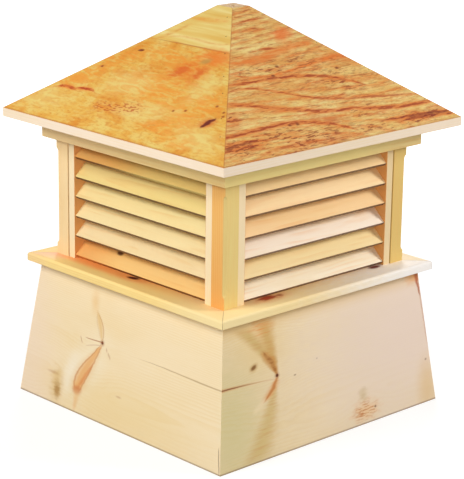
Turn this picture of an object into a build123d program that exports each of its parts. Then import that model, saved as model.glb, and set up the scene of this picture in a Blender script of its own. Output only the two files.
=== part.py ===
"""Wooden louvered cupola, 26 inch square base, with a battered skirt and a hipped plywood roof.

The origin is at the centre of the skirt's bottom rim, with +Z up.
Front is -Y, right is +X, back is +Y and left is -X.
All sizes are in millimetres.
"""

import os
from math import atan2, cos, radians, sin, sqrt

from build123d import *

# Stock thicknesses
BOARD = 19.05
PLYWOOD = 9.5
SLAT_STOCK = 9.5

# Skirt, which leans in from a 26 inch square base
BASE_HALF = 330.2
SKIRT_TOP_HALF = 292.2
SKIRT_HEIGHT = 303.5
SKIRT_JOINT_Z = 172.0

# Sill, a mitred frame with a rounded outer edge
SILL_HALF = 315.2
SILL_WIDTH = 114.3
SILL_TOP_ROUND = 6.0
SILL_BOTTOM_ROUND = 1.5

# Corner posts with a stopped chamfer on the outer corner
POST = 38.1
POST_HALF = 268.1
CHAMFER_LEG = 6.0
CHAMFER_RUNOUT_RADIUS = 12.0
CHAMFER_TOP_STOP = 76.0
CHAMFER_BOTTOM_STOP = 33.0

# Louvre frames, two grooved stiles and six slats a side
STILE_WIDTH = 18.5
STILE_DEPTH = 37.5
STILE_SETBACK = 2.0
STILE_GAP = 2.0
SLAT_COUNT = 6
SLAT_PITCH = 44.0
SLAT_WIDTH = 44.5
SLAT_SLOPE = 43.0
SLAT_SETBACK = 2.0
SLAT_FIRST_RISE = 8.0
SLAT_EDGE_ROUND = 0.8
GROOVE_DEPTH = 6.0
GROOVE_SLACK = 0.5

# Bed mould under the eaves
MOULD_HALF = 289.9
MOULD_HEIGHT = 43.0
MOULD_ROUND = 1.5

# Eave frame and hipped roof
EAVE_HALF = 349.5
EAVE_UNDERSIDE = 628.1
EAVE_WIDTH = 139.7
EAVE_EDGE_ROUND = 1.0
ROOF_TOP = 878.3
BLOCK = 47.1
BLOCK_HEIGHT = 50.0
PILOT_RADIUS = 4.0

# Places worked out from the driving sizes
SILL_TOP = SKIRT_HEIGHT + BOARD
EAVE_TOP = EAVE_UNDERSIDE + BOARD
MOULD_BOTTOM = EAVE_UNDERSIDE - MOULD_HEIGHT
STILE_FRONT = POST_HALF - STILE_SETBACK
STILE_OUTER = POST_HALF - POST - STILE_GAP
STILE_INNER = STILE_OUTER - STILE_WIDTH
SLAT_TIP = STILE_FRONT - SLAT_SETBACK
ROOF_SLOPE = atan2(ROOF_TOP - EAVE_TOP, EAVE_HALF - BLOCK / 2)

# The four sides, each a quarter turn from the front
SIDES = {"front": 0, "right": 90, "back": 180, "left": 270}
NEXT_SIDE = {"front": "right", "right": "back", "back": "left", "left": "front"}


def section(*points):
    """A straight-sided section through a front piece, given as (y, z) points."""
    return Plane.YZ * make_face(Polyline(*points, close=True))


def mitred(profile):
    """The front piece of a square ring, its section run along X and mitred at both ends."""
    reach = EAVE_HALF + 1
    bar = extrude(profile, amount=reach, both=True)
    quarter = extrude(make_face(Polyline((0, 0), (-reach, -reach), (reach, -reach), close=True)), ROOF_TOP)
    return bar & quarter


def skirt_half(z):
    """Half the width of the skirt's outer faces at a height."""
    return BASE_HALF + (SKIRT_TOP_HALF - BASE_HALF) * z / SKIRT_HEIGHT


def skirt_board(bottom, top):
    """One leaning board of the skirt, with level edges."""
    batter = atan2(BASE_HALF - SKIRT_TOP_HALF, SKIRT_HEIGHT)
    level_thickness = BOARD / cos(batter)
    low, high = -skirt_half(bottom), -skirt_half(top)
    return mitred(section((low, bottom), (high, top), (high + level_thickness, top), (low + level_thickness, bottom)))


def sill_board():
    """A sill board with a level top. Its outer edge is rounded over, more above than below."""
    inner = -(SILL_HALF - SILL_WIDTH)
    board = make_face(
        Polyline(
            (-SILL_HALF, SKIRT_HEIGHT),
            (-SILL_HALF, SILL_TOP),
            (inner, SILL_TOP),
            (inner, SKIRT_HEIGHT),
            close=True,
        )
    )
    upper = board.vertices().group_by(Axis.X)[0].sort_by(Axis.Y)[-1]
    board = fillet(upper, SILL_TOP_ROUND)
    lower = board.vertices().group_by(Axis.X)[0].sort_by(Axis.Y)[0]
    return mitred(Plane.YZ * fillet(lower, SILL_BOTTOM_ROUND))


def corner_post():
    """The front right post. Its outer corner has a chamfer that curves out short of both ends."""
    inner = POST_HALF - POST
    post = Pos((POST_HALF + inner) / 2, -(POST_HALF + inner) / 2, (SILL_TOP + EAVE_UNDERSIDE) / 2) * Box(
        POST, POST, EAVE_UNDERSIDE - SILL_TOP
    )
    depth = CHAMFER_LEG / sqrt(2)
    clear = CHAMFER_RUNOUT_RADIUS
    low = SILL_TOP + CHAMFER_BOTTOM_STOP
    high = EAVE_UNDERSIDE - CHAMFER_TOP_STOP
    run = sqrt(CHAMFER_RUNOUT_RADIUS**2 - (CHAMFER_RUNOUT_RADIUS - depth) ** 2)
    across = Plane(origin=(POST_HALF, -POST_HALF, 0), x_dir=(1, -1, 0), z_dir=(-1, -1, 0))
    cut = make_face(
        [
            Line((-depth, low), (-depth, high)),
            RadiusArc((-depth, high), (0, high + run), clear),
            Polyline((0, high + run), (clear, high + run), (clear, low - run), (0, low - run)),
            RadiusArc((0, low - run), (-depth, low), clear),
        ]
    )
    return post - extrude(across * cut, amount=POST, both=True)


def slat_section(index, ease=0.0):
    """The section of one slat. It falls outward, and its lower edge is square to its faces."""
    slope = radians(SLAT_SLOPE)
    tip_z = SILL_TOP + SLAT_FIRST_RISE + index * SLAT_PITCH
    along = Vector(cos(slope), sin(slope))
    down = Vector(sin(slope), -cos(slope))
    tip = Vector(-SLAT_TIP, tip_z)
    corners = [tip, tip + along * SLAT_WIDTH, tip + along * SLAT_WIDTH + down * SLAT_STOCK, tip + down * SLAT_STOCK]
    face = make_face(Polyline(*corners, close=True))
    if ease:
        outer = face.vertices().sort_by(Axis.X)[:2]
        face = fillet(outer, ease)
    return Plane.YZ * face


def louvre_stile():
    """The right-hand stile of the front louvre, with a sloping groove for each slat."""
    stile = Pos(STILE_INNER, -STILE_FRONT, SILL_TOP) * Box(
        STILE_WIDTH, STILE_DEPTH, EAVE_UNDERSIDE - SILL_TOP, align=(Align.MIN, Align.MIN, Align.MIN)
    )
    for index in range(SLAT_COUNT):
        stile -= Pos(STILE_INNER, 0, 0) * extrude(slat_section(index), GROOVE_DEPTH)
    return stile


def louvre_slats():
    """The six slats of the front louvre, held by their ends in the stiles' grooves."""
    half_length = STILE_INNER + GROOVE_DEPTH - GROOVE_SLACK
    return [extrude(slat_section(index, SLAT_EDGE_ROUND), half_length, both=True) for index in range(SLAT_COUNT)]


def bed_mould():
    """The strip under the eave, with its lower outer edge rounded."""
    strip = make_face(
        Polyline(
            (-MOULD_HALF, MOULD_BOTTOM),
            (-MOULD_HALF, EAVE_UNDERSIDE),
            (-POST_HALF, EAVE_UNDERSIDE),
            (-POST_HALF, MOULD_BOTTOM),
            close=True,
        )
    )
    lower_outer = strip.vertices().group_by(Axis.X)[0].sort_by(Axis.Y)[0]
    return mitred(Plane.YZ * fillet(lower_outer, MOULD_ROUND))


def eave_board():
    """A flat board of the eave frame. Its edge shows below the roof."""
    inner = -(EAVE_HALF - EAVE_WIDTH)
    board = make_face(
        Polyline(
            (-EAVE_HALF, EAVE_UNDERSIDE),
            (-EAVE_HALF, EAVE_TOP),
            (inner, EAVE_TOP),
            (inner, EAVE_UNDERSIDE),
            close=True,
        )
    )
    lower_outer = board.vertices().group_by(Axis.X)[0].sort_by(Axis.Y)[0]
    return mitred(Plane.YZ * fillet(lower_outer, EAVE_EDGE_ROUND))


def roof_panel():
    """A sloping panel, cut level where it rests on the eave frame and plumb against the block."""
    foot = PLYWOOD / sin(ROOF_SLOPE)
    plumb = PLYWOOD / cos(ROOF_SLOPE)
    top = -BLOCK / 2
    return mitred(
        section((-EAVE_HALF, EAVE_TOP), (top, ROOF_TOP), (top, ROOF_TOP - plumb), (-EAVE_HALF + foot, EAVE_TOP))
    )


def mounting_block():
    """The block between the tops of the roof panels, bored for a finial's rod."""
    block = Pos(0, 0, ROOF_TOP) * Box(BLOCK, BLOCK, BLOCK_HEIGHT, align=(Align.CENTER, Align.CENTER, Align.MAX))
    return block - Pos(0, 0, ROOF_TOP) * Cylinder(
        PILOT_RADIUS, 2 * BLOCK_HEIGHT, align=(Align.CENTER, Align.CENTER, Align.CENTER)
    )


def build_parts():
    """Every piece by name, each made once at the front and turned to its own side."""
    parts = {"mounting_block": mounting_block()}
    rings = {
        "skirt_lower_board": skirt_board(0, SKIRT_JOINT_Z),
        "skirt_upper_board": skirt_board(SKIRT_JOINT_Z, SKIRT_HEIGHT),
        "sill_board": sill_board(),
        "louvre_slats": Compound(children=louvre_slats()),
        "bed_mould": bed_mould(),
        "eave_board": eave_board(),
        "roof_panel": roof_panel(),
    }
    stile = louvre_stile()
    other_stile = mirror(stile, about=Plane.YZ)
    post = corner_post()
    before = {after: side for side, after in NEXT_SIDE.items()}
    for side, angle in SIDES.items():
        turn = Rot(0, 0, angle)
        for name, piece in rings.items():
            parts[f"{name}_{side}"] = turn * piece
        parts[f"corner_post_{side}_{NEXT_SIDE[side]}"] = turn * post
        parts[f"louvre_stile_{side}_near_{NEXT_SIDE[side]}"] = turn * stile
        parts[f"louvre_stile_{side}_near_{before[side]}"] = turn * other_stile
    return parts


def main():
    os.makedirs("parts", exist_ok=True)
    for name, piece in build_parts().items():
        export_step(piece, f"parts/{name}.step")


if __name__ == "__main__":
    main()
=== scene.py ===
"""A bare pine louvered cupola: planed boards with their knots, sanded plywood, louvre slats and nails."""

from math import atan2, cos, radians, sin

import bpy
from mathutils import Matrix, Vector


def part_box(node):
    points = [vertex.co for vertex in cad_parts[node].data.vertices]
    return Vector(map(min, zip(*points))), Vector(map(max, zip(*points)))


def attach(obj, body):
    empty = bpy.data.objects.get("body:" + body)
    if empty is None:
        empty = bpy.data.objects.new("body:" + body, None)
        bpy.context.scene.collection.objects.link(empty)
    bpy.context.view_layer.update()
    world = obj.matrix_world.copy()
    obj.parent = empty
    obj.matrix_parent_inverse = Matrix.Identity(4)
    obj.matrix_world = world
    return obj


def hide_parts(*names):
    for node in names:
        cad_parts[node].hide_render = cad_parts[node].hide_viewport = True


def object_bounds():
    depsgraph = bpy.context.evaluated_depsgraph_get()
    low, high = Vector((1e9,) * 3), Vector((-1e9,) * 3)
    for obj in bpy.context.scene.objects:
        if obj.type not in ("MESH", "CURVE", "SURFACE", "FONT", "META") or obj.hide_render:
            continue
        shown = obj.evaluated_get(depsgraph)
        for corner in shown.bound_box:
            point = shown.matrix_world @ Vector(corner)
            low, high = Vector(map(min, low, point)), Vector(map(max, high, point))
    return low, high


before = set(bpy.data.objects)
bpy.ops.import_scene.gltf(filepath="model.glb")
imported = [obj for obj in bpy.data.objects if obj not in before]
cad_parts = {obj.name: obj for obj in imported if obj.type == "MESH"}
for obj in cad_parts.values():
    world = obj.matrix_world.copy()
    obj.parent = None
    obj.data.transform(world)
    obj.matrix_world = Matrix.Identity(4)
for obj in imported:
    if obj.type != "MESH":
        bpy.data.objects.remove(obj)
cad_low, cad_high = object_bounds()

MM = 0.001
SIDES = ("front", "right", "back", "left")

# The axes along the grain, across it and into the board, for upright and for level boards
BOARD_AXES = {"front": "xzy", "right": "yzx", "back": "xzy", "left": "yzx"}
LEVEL_AXES = {"front": "xyz", "right": "yxz", "back": "xyz", "left": "yxz"}
OUTWARD = {"front": -1, "right": 1, "back": 1, "left": -1}

# Places read from the frame, in millimetres
EAVE_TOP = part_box("eave_board_front")[1].z / MM
EAVE_HALF = cad_high.x / MM
ROOF_TOP = cad_high.z / MM
BLOCK_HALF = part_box("mounting_block")[1].x / MM
ROOF_SLOPE = atan2(ROOF_TOP - EAVE_TOP, EAVE_HALF - BLOCK_HALF)
SILL_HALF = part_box("sill_board_front")[1].x / MM
POST_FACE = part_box("corner_post_front_right")[1].x / MM
POST_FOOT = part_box("corner_post_front_right")[0].z / MM
BANK_LOW, BANK_HIGH = (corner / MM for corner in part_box("louvre_slats_front"))
BOARD_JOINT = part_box("skirt_upper_board_front")[0].z / MM
STILE_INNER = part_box("louvre_stile_front_near_right")[0].x / MM

# The louvre slats
SLAT_COUNT = 6
SLAT_PITCH = 44.0
SLAT_WIDTH = 44.5
SLAT_THICKNESS = 9.5
SLAT_SLOPE = radians(43)
SLAT_EASE = 0.8
SLAT_FIRST_TIP = BANK_LOW.z + SLAT_THICKNESS * cos(SLAT_SLOPE)

# The roof nails, in a row up each panel, so far from its hip
NAIL_RADIUS = 1.1
NAIL_HEIGHT = 0.5
NAIL_PITCH = 58.0
NAIL_WANDER = 9.0
NAIL_INSETS = {"front": 15.0, "right": 7.0, "back": 11.0, "left": 9.0}
NAIL_ROW_ENDS = (66, 376)

# The camera, fitted to the corners of the photographed cupola
CAMERA_PLACE = Vector((2.90945, -2.76018, 1.53980))
CAMERA_AZIMUTH = radians(46.435)
CAMERA_ELEVATION = radians(16.379)
CAMERA_ROLL = radians(0.861)
FOCAL_PIXELS = 1903.65
PICTURE_HEIGHT = 479
SENSOR_WIDTH = 36.0

# The room's even light, and the lamps: place, aim, size and power
ROOM_LIGHT = 0.2
LAMPS = {
    "soft front": ((-0.45, -2.4, 2.15), (0, 0, 0.45), 1.2, 53),
    "soft right": ((2.6, 2.25, 2.2), (0.15, 0, 0.45), 1.2, 84),
    "low fill": ((2.5, -2.5, 0.95), (0, 0, 0.45), 1.8, 32),
    "soft back": ((-2.6, 2.6, 1.9), (0, 0, 0.45), 1.6, 60),
}

# The floor, which the camera sees as white past the cupola's shadow
FLOOR_HALF = 14.0
SHADOW_REACH = 0.7
WHITE_REACH = 3.0
SHADOW_LIFT = 0.65


def tone(red, green, blue):
    """A colour in the steps of a paint card, 0 to 255, as the light that it reflects."""
    shares = (red / 255, green / 255, blue / 255)
    return tuple(s / 12.92 if s <= 0.04045 else ((s + 0.055) / 1.055) ** 2.4 for s in shares) + (1.0,)


CREAM = tone(250, 228, 188)
ROSY = tone(250, 224, 200)
STRAW = tone(240, 208, 142)
HONEY = tone(236, 184, 104)
AMBER = tone(232, 156, 76)
RUST = tone(196, 98, 44)
OLIVE = tone(196, 164, 96)
KNOT_RIM = tone(178, 104, 48)
KNOT_HEART = tone(226, 146, 86)
BARK = tone(92, 38, 18)

# How far an upper board's grain is from the lower board's, in the noise and across the rings
RECUT_JUMP = (1.9, 2.3)
PITH_JUMP = 270


def joined(operation):
    """A method that joins an output to any others by one operation."""
    return lambda self, *others: self.graph.maths(operation, self, *others)


class Field:
    """A node's output. Sums and products of outputs add their own nodes."""

    def __init__(self, graph, socket):
        self.graph = graph
        self.socket = socket

    def __rsub__(self, other):
        return self.graph.maths("SUBTRACT", other, self)

    __add__ = __radd__ = joined("ADD")
    __mul__ = __rmul__ = joined("MULTIPLY")
    __sub__ = joined("SUBTRACT")
    __truediv__ = joined("DIVIDE")
    __pow__ = joined("POWER")
    fraction = joined("FRACT")
    size = joined("ABSOLUTE")
    at_least = joined("MAXIMUM")
    at_most = joined("MINIMUM")


class Graph:
    """A node tree. Each of its nodes is made by node()."""

    def __init__(self, tree):
        self.tree = tree

    def node(self, kind, settings=None, inputs=None):
        """Adds a node: its settings first, then the value or the link of each named input."""
        node = self.tree.nodes.new(kind)
        for name, value in (settings or {}).items():
            if name == "stops":
                fill_ramp(node.color_ramp, value)
            else:
                setattr(node, name, value)
        for name, value in (inputs or {}).items():
            if isinstance(value, Field):
                value = value.socket
            if isinstance(value, bpy.types.NodeSocket):
                self.tree.links.new(value, node.inputs[name])
            else:
                node.inputs[name].default_value = value
        return node

    def field(self, kind, settings=None, inputs=None, output=0):
        """Adds a node and gives one of its outputs."""
        return Field(self, self.node(kind, settings, inputs).outputs[output])

    def vector(self, x=0.0, y=0.0, z=0.0):
        return self.field("ShaderNodeCombineXYZ", None, {0: x, 1: y, 2: z})

    def maths(self, operation, *values):
        return self.field("ShaderNodeMath", {"operation": operation}, dict(enumerate(values)))

    def link(self, field, node, name):
        self.tree.links.new(field.socket, node.inputs[name])


class Paint(Graph):
    """A material of its own, with a Principled shader to set."""

    def __init__(self, name):
        self.material = bpy.data.materials.new(name)
        self.material.use_nodes = True
        super().__init__(self.material.node_tree)
        self.shader = self.tree.nodes["Principled BSDF"]


def fill_ramp(ramp, stops):
    """Sets the stops of a colour ramp from pairs of a position and a colour."""
    while len(ramp.elements) < len(stops):
        ramp.elements.new(1.0)
    for element, (position, colour) in zip(ramp.elements, stops):
        element.position = position
        element.color = colour


def cubic(field, points):
    """The cubic curve through four places, as a field of its height."""
    (a, fa), (b, fb), (c, fc), (d, fd) = points
    ab, bc, cd = (fb - fa) / (b - a), (fc - fb) / (c - b), (fd - fc) / (d - c)
    abc, bcd = (bc - ab) / (c - a), (cd - bc) / (d - b)
    abcd = (bcd - abc) / (d - a)
    return (((field - c) * abcd + abc) * (field - b) + ab) * (field - a) + fa


class Timber(Paint):
    """Bare wood."""

    def __init__(self, name, axes, seed, slope=None):
        super().__init__(name)
        self.place = self.node("ShaderNodeTexCoord").outputs["Object"]
        split = self.node("ShaderNodeSeparateXYZ", None, {0: self.place})
        fields = {letter: Field(self, split.outputs[i]) / MM for i, letter in enumerate("xyz")}
        self.axes = axes
        self.seed = seed
        self.slope = slope
        self.along, self.across, self.depth = (fields[letter] for letter in axes)
        self.height = fields["z"]
        if slope:
            self.across = (self.across - EAVE_TOP) / sin(slope)
        self.wobble = self.cloud(22, 9, detail=3.0, shift=3.0) - 0.5

    def recut(self, height):
        """Gives what lies above a height the grain of another board, and returns where that is."""
        above = self.smooth(self.height, height - 0.01, height + 0.01)
        inputs = {0: self.place, 1: self.vector(above * RECUT_JUMP[0], above * RECUT_JUMP[1])}
        self.place = self.node("ShaderNodeVectorMath", {"operation": "ADD"}, inputs).outputs[0]
        return above

    def cloud(self, long, wide, detail=2.0, shift=0.0, swirl=0.0):
        """Noise from 0 to 1, in lumps about so long along the grain and so wide across it."""
        spans = dict(zip(self.axes, (long, wide, wide)))
        if self.slope:
            spans[self.axes[1]] *= sin(self.slope)
            spans[self.axes[2]] = 1 / MM
        start = (self.seed * 3.71 + shift, self.seed * 1.37 - shift, shift - self.seed * 2.93)
        inputs = {"Vector": self.place, "Location": start}
        inputs["Scale"] = tuple(1 / (spans[letter] * MM) for letter in "xyz")
        place = self.node("ShaderNodeMapping", {"vector_type": "POINT"}, inputs)
        inputs = {"Vector": place.outputs[0], "Scale": 1.0, "Detail": detail, "Distortion": swirl}
        return self.field("ShaderNodeTexNoise", {"noise_dimensions": "3D"}, inputs)

    def smooth(self, field, low, high):
        """Rises smoothly from 0 to 1 as the field goes from low to high."""
        inputs = {"Value": field, "From Min": low, "From Max": high}
        return self.field("ShaderNodeMapRange", {"interpolation_type": "SMOOTHSTEP"}, inputs)

    def fall(self, field, low, high):
        """Falls smoothly from 1 to 0 as the field goes from low to high."""
        return 1 - self.smooth(field, low, high)

    def blend(self, share, first, second, kind="MIX"):
        settings = {"data_type": "RGBA", "blend_type": kind, "clamp_factor": True}
        return self.field("ShaderNodeMix", settings, {0: share, 6: first, 7: second}, output=2)

    def ramp(self, field, *stops):
        return self.field("ShaderNodeValToRGB", {"stops": stops}, {0: field})

    def stain(self, share, colour):
        """Lays a colour over the wood, by its share at each place."""
        self.colour = self.blend(share, self.colour, colour)

    def dab(self, centre, size, share, colour, turn=0, soft=0.9, rough=0.6):
        """Stains a soft oval."""
        self.stain(self.spot(centre, size, turn, soft, rough) * share, colour)

    def line(self, points, widths, share, colour, fade=8, soft=0.9, rough=3):
        """Stains a mark along the cubic through four places."""
        self.stain(self.stroke(points, widths, fade, soft, rough) * share, colour)

    def spot(self, centre, size, turn=0, soft=0.9, rough=0.6):
        """A soft oval. Its centre and size are along and across the grain, before its turn."""
        along, across = self.along - centre[0], self.across - centre[1]
        c, s = cos(radians(turn)), sin(radians(turn))
        a = (along * c + across * s) / size[0]
        b = (across * c - along * s) / size[1]
        reach = (a * a + b * b) ** 0.5 + self.wobble * rough
        return self.fall(reach, 1 - soft, 1 + soft)

    def follow(self, points, widths, fade, rough):
        """How many half widths off the cubic through four points a place is, and the mark's strength there.

        A mark that runs more across the grain than along it is followed across.
        """
        (start, low), (end, high) = points[0], points[-1]
        run, rise = self.along, self.across
        if abs(high - low) > abs(end - start):
            run, rise = rise, run
            points = [(across, along) for along, across in points]
            (start, low), (end, high) = points[0], points[-1]
        lean = abs(cos(atan2(high - low, end - start)))
        t = (run - start) / (end - start)
        a, m, b = (width / 2 for width in widths)
        half = ((t * (2 * a - 4 * m + 2 * b) + (4 * m - 3 * a - b)) * t + a).at_least(0.25)
        off = (rise - cubic(run, points) + self.wobble * (rough * 2)).size() * lean
        f = fade / abs(end - start)
        strength = self.smooth(t, -f, f) * self.fall(t, 1 - f, 1 + f)
        return off / half, strength

    def stroke(self, points, widths, fade=8, soft=0.9, rough=3):
        """A mark along the cubic through four places, so wide at its start, middle and end."""
        reach, strength = self.follow(points, widths, fade, rough)
        return self.fall(reach, 1 - soft, 1 + soft) * strength

    def vein(self, points, widths, share, glow, heart, broken, fade=18, rough=3.0):
        """A dark line in a broad glow. The line comes and goes with the broken field."""
        reach, strength = self.follow(points, widths, fade, rough)
        self.stain(self.fall(reach, 0.3, 2.0) * strength * (share * 0.8), glow)
        self.stain(self.fall(reach, 0.3, 0.9) * strength * broken * share, heart)

    def rings(self, gap, pith, wander=3.0, bend=None):
        """Growth rings: circles round the pith, cut by the face, that drift as they run along."""
        across, depth = self.across - pith[0], self.depth - pith[1]
        phase = (across * across + depth * depth) ** 0.5 / gap
        phase = phase + self.cloud(620, 60, detail=1.0, shift=5.0) * wander
        phase = phase + self.cloud(90, 16, detail=1.0, shift=9.0) * (wander * 0.12)
        if bend:
            phase = phase + bend
        phase = phase.fraction()
        return self.smooth(phase, 0.2, 0.88) * self.fall(phase, 0.88, 1.0)

    def figure(self, gap, sway, long, wide, lean=0.0, edge=0.8):
        """The wavy lines of a peeled veneer: a slope with hills on it, marked at each gap of its height."""
        height = self.across / gap + self.along * lean
        height = height + self.cloud(long, wide, detail=1.0, shift=12.0) * sway
        height = height + self.cloud(long * 0.22, wide * 0.22, shift=13.0) * (sway * 0.16)
        phase = height.fraction()
        return self.smooth(phase, 0.1, edge) * self.fall(phase, edge, 1.0)

    def knot(self, centre, size, turn=0, share=1.0):
        """A sound red knot with a dark rim, in a warm halo."""
        long, wide = size
        self.dab(centre, (long * 3.6, wide * 2.2), 0.3 * share, HONEY, turn=turn, rough=1.2)
        self.dab(centre, (long * 1.2, wide * 1.25), 0.6 * share, KNOT_RIM, turn=turn, soft=0.6, rough=1.4)
        self.dab(centre, size, 0.6 * share, KNOT_HEART, turn=turn, soft=0.5, rough=1.2)
        self.dab(centre, (long * 0.22, wide * 0.3), 0.7 * share, BARK, turn=turn, soft=0.5)

    def finish(self, bump=0.15, reach=0.5, shine=0.25):
        """Joins the colour, roughness and relief to the shader."""
        inputs = {"Height": self.relief, "Strength": bump, "Distance": reach * MM}
        raised = self.field("ShaderNodeBump", None, inputs)
        self.link(self.colour, self.shader, "Base Color")
        self.link(self.roughness, self.shader, "Roughness")
        self.link(raised, self.shader, "Normal")
        self.shader.inputs["Specular IOR Level"].default_value = shine
        return self.material


def pine(name, axes, seed, pale, deep, gap, pith, wander, contrast, bend=None, joint=None):
    """Planed pine: growth rings round a pith, fine fibres and a slow change of tone.

    A bend says how far the knots push the rings aside. Above a joint lies another board.
    """
    wood = Timber(name, axes, seed)
    if joint:
        pith = (pith[0] + wood.recut(joint) * PITH_JUMP, pith[1])
    late = wood.rings(gap, pith, wander, bend and bend(wood))
    patchy = wood.smooth(wood.cloud(220, 50, shift=2.0), 0.35, 0.65)
    fibre = wood.cloud(38, 1.1, detail=3.0, shift=1.0)
    slow = wood.cloud(240, 80, shift=7.0)
    wood.colour = wood.blend(late * (patchy * 0.7 + 0.3) * contrast, pale, deep)
    wood.stain(wood.smooth(fibre, 0.45, 0.8) * 0.25, deep)
    wood.stain(wood.smooth(slow, 0.45, 0.8) * 0.3, deep)
    wood.relief = late * -0.4 + fibre
    wood.roughness = late * -0.08 + fibre * 0.14 + 0.56
    return wood


# The skirt. Marks lie so far along the board and so far up it.

LENS_AXIS = ((-69, 166), (-96, 130), (-122, 88), (-137, 50))
LENS_CORE = ((-92, 118), (-104, 100), (-116, 82), (-130, 60))
LENS_LEFT = ((-71, 168), (-108, 128), (-140, 88), (-145, 55))
LENS_RIGHT = ((-67, 166), (-83, 134), (-104, 92), (-127, 52))
LENS_FOOT = ((-136, 50), (-135, 36), (-137, 25), (-140, 6))
LENS_RIM = tone(206, 124, 60)
SPIKE_AXIS = ((-68, 178), (-74, 198), (-80, 215), (-89, 236))
SPIKE_LEFT = ((-70, 178), (-82, 198), (-89, 215), (-91, 235))
SPIKE_RIGHT = ((-66, 178), (-65, 197), (-72, 215), (-87, 233))
FRONT_CRACKS = (
    (((-121, 172.5), (-102, 173), (-84, 174), (-66, 175)), 0.75),
    (((-118, 155), (-100, 161), (-82, 165), (-69, 167)), 0.3),
)
FRONT_TICK = ((-132, 158), (-134, 162), (-137, 167), (-138.5, 172))
FRONT_SPLIT = ((318, 55), (320, 38), (323, 20), (326, 3))
FRONT_JOINT = ((60, 171.6), (130, 172.6), (210, 171.6), (330, 172.2))


def dark_point(wood, place):
    """The small dark hole from which a branch's halves spread."""
    wood.dab(place, (6, 6), 0.6, KNOT_RIM, soft=0.7)
    wood.dab(place, (3.6, 3.4), 0.95, BARK, soft=0.4)


def pull_front(wood):
    """How far the knots on the front push the rings aside."""
    return wood.spot((-110, 110), (75, 70), turn=55) * 2.5 + wood.spot((-203, 35), (48, 32)) * 2


def mark_lens(wood):
    """A branch cut lengthwise: an orange lens with a thin rim."""
    wood.line(LENS_AXIS, (6, 40, 34), 0.45, HONEY, fade=12, soft=0.7, rough=2)
    wood.line(LENS_AXIS, (2, 20, 19), 0.65, tone(236, 168, 92), fade=6, soft=0.7)
    wood.line(LENS_CORE, (4, 9, 9), 0.65, tone(226, 138, 74), fade=10, soft=0.8)
    wood.line(LENS_LEFT, (2, 4, 4), 0.6, LENS_RIM, fade=6)
    wood.line(LENS_RIGHT, (3, 4, 3), 0.55, LENS_RIM, fade=6)
    wood.dab((-136, 51), (13, 9), 0.65, tone(206, 110, 56), turn=10, soft=0.6)
    wood.line(LENS_FOOT, (20, 14, 8), 0.5, tone(236, 180, 112), fade=12)


def mark_spike(wood):
    """The thin end of the same branch, with cracks at its point."""
    wood.line(SPIKE_AXIS, (3, 12, 8), 0.6, tone(228, 184, 112), fade=10, rough=2.5)
    wood.line(SPIKE_LEFT, (2, 3, 3), 0.12, KNOT_RIM, fade=10)
    wood.line(SPIKE_RIGHT, (2, 3.4, 2.6), 0.5, tone(196, 132, 66), rough=2)
    wood.dab((-100, 256), (11, 20), 0.4, HONEY)
    dark_point(wood, (-66, 174.5))
    for crack, share in FRONT_CRACKS:
        wood.line(crack, (1.4, 2.2, 2.4), share, KNOT_RIM, fade=6, soft=0.8, rough=0.6)
    wood.line(FRONT_TICK, (1.6, 2.2, 1.4), 0.6, KNOT_RIM, fade=3, soft=0.8, rough=0.5)
    for place in ((-50, 162), (-43, 154), (-38, 149)):
        wood.dab(place, (2, 4.5), 0.35, KNOT_RIM, turn=20, soft=0.7)


def mark_skirt_front(wood):
    """A spike knot in pale wood, a brown smudge beside it, and the joint that fades out to the left."""
    # Painted light: the far left end is tinted pinker, as the lamps light it
    wood.dab((-330, 120), (90, 260), 0.55, ROSY, turn=10, soft=0.8)
    wood.dab((20, 40), (190, 60), 0.45, tone(244, 214, 146))
    wood.dab((-112, 110), (80, 40), 0.5, tone(252, 238, 208), turn=52, soft=0.8)
    wood.dab((-164, 80), (18, 46), 0.5, tone(254, 242, 220), turn=-20, soft=0.8)
    mark_lens(wood)
    mark_spike(wood)
    wood.dab((-205, 42), (17, 32), 0.55, tone(212, 168, 88), rough=1.8)
    wood.dab((-203, 32), (8, 18), 0.7, tone(172, 122, 54), soft=0.8, rough=2.4)
    wood.dab((-222, 69), (15, 3), 0.35, KNOT_RIM, soft=0.8)
    wood.dab((1, 73), (8, 2), 0.35, KNOT_RIM, soft=0.8)
    wood.line(FRONT_JOINT, (0.6, 2.4, 3.2), 0.6, tone(168, 128, 76), fade=50, rough=1)
    wood.line(FRONT_SPLIT, (1.6, 2.8, 1.8), 0.6, BARK, fade=6, soft=0.8, rough=1)


SCAR_ARMS = (
    (((-155, 172), (-183, 218), (-214, 254), (-247, 285)), (6, 22, 30), 0.65, tone(204, 168, 92)),
    (((-154, 172), (-164, 213), (-173, 253), (-178, 290)), (6, 26, 38), 0.75, tone(208, 164, 86)),
    (((-164, 145), (-178, 99), (-198, 55), (-226, 4)), (12, 38, 54), 0.65, tone(212, 180, 108)),
)
SCAR_CORE = ((-154, 171), (-160, 186), (-172, 205), (-187, 225))
SCAR_TAIL = ((-154, 164), (-164, 148), (-177, 134), (-194, 122))
SCAR_GLINT = ((-192, 124), (-201, 119), (-210, 114), (-226, 106))
RIGHT_SPECKS = (
    ((134, 31), (3, 2.4), 0.75),
    ((304, 97), (3.2, 2.6), 0.5),
    ((-102, 157), (3.4, 1.6), 0.5),
    ((-35, 177), (2, 1.4), 0.3),
)
RIGHT_END_KNOT = ((287, 296), (289, 276), (292, 262), (295, 244))
RIGHT_END_EDGE = ((295, 262), (301, 222), (306, 180), (312, 134))
RIGHT_JOINT = ((-330, 172), (-258, 169.5), (-205, 166), (-152, 161))


def pull_right(wood):
    """How far the knots on the right push the rings aside."""
    return wood.spot((-185, 190), (90, 110)) * 2.5 + wood.spot((105, 30), (60, 34)) * 2


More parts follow.
